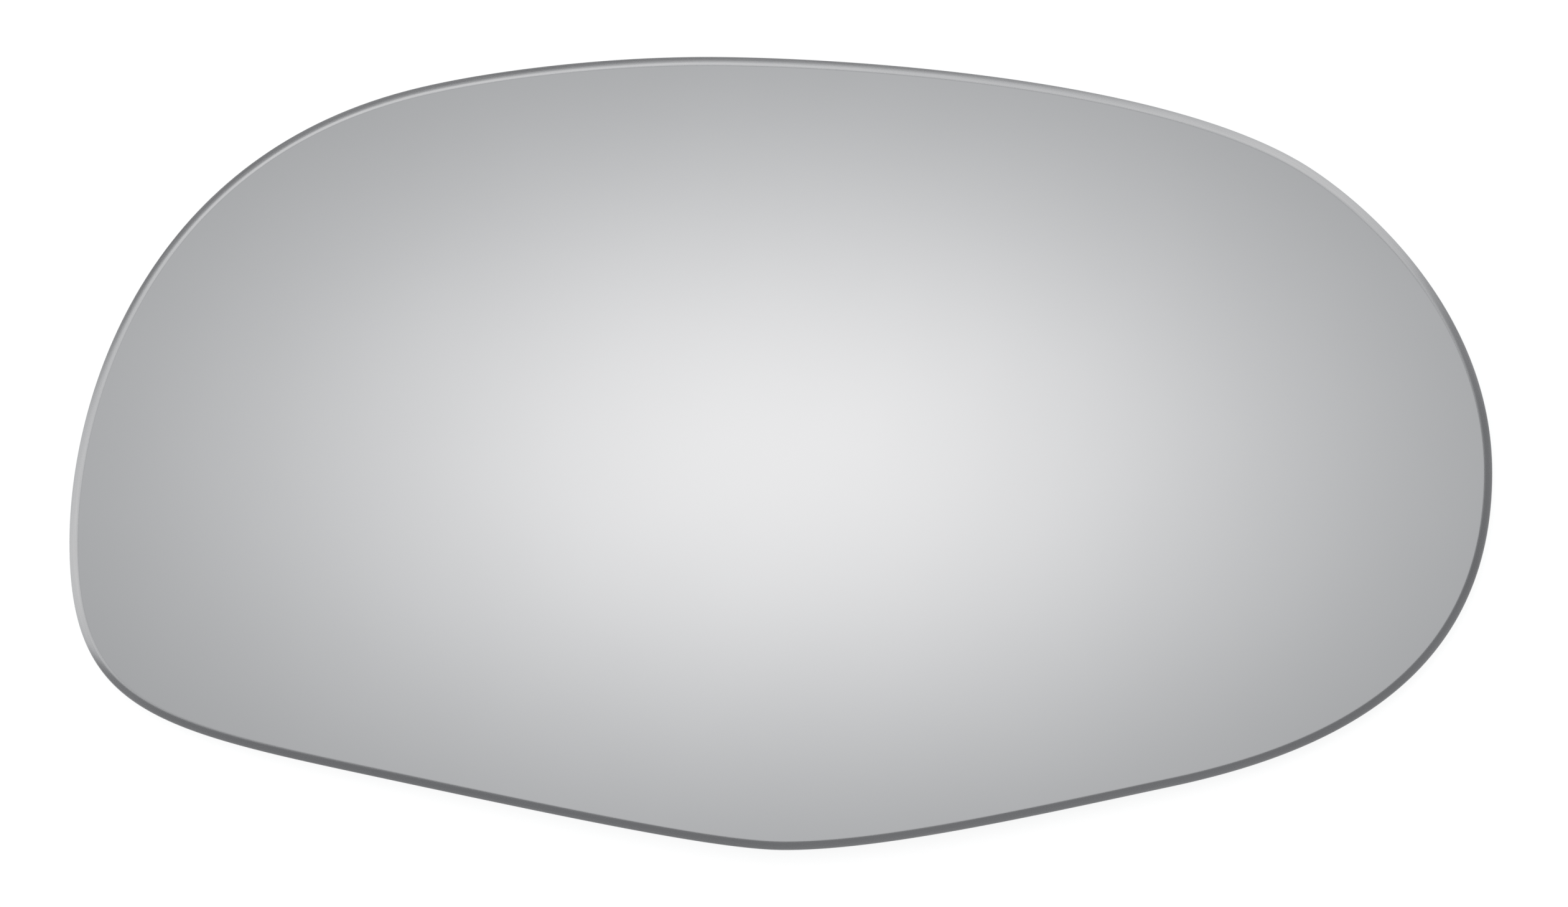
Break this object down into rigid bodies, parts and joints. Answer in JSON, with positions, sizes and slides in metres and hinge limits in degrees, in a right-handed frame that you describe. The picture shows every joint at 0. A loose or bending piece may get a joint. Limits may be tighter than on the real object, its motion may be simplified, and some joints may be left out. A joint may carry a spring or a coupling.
{
  "type": "car door mirror glass",
  "caption": "Convex silvered glass for a car door mirror: a rounded, lopsided oval sheet with a bevelled rim, bonded by its back to a carrier plate.",
  "frame": {"origin": "middle of the glass's width and height, at the level its rim rests on when it lies on its back", "axes": "+X to the right along the width as the driver sees the glass, +Y up along its height, +Z out of the reflecting face"},
  "size_m": [0.183, 0.1018, 0.0051],
  "materials": {
    "mirror_glass": "silvered and polished, with a ground rim"
  },
  "bodies": {
    "root": {"mirror_glass": "mirror_glass"}
  },
  "joints": []
}
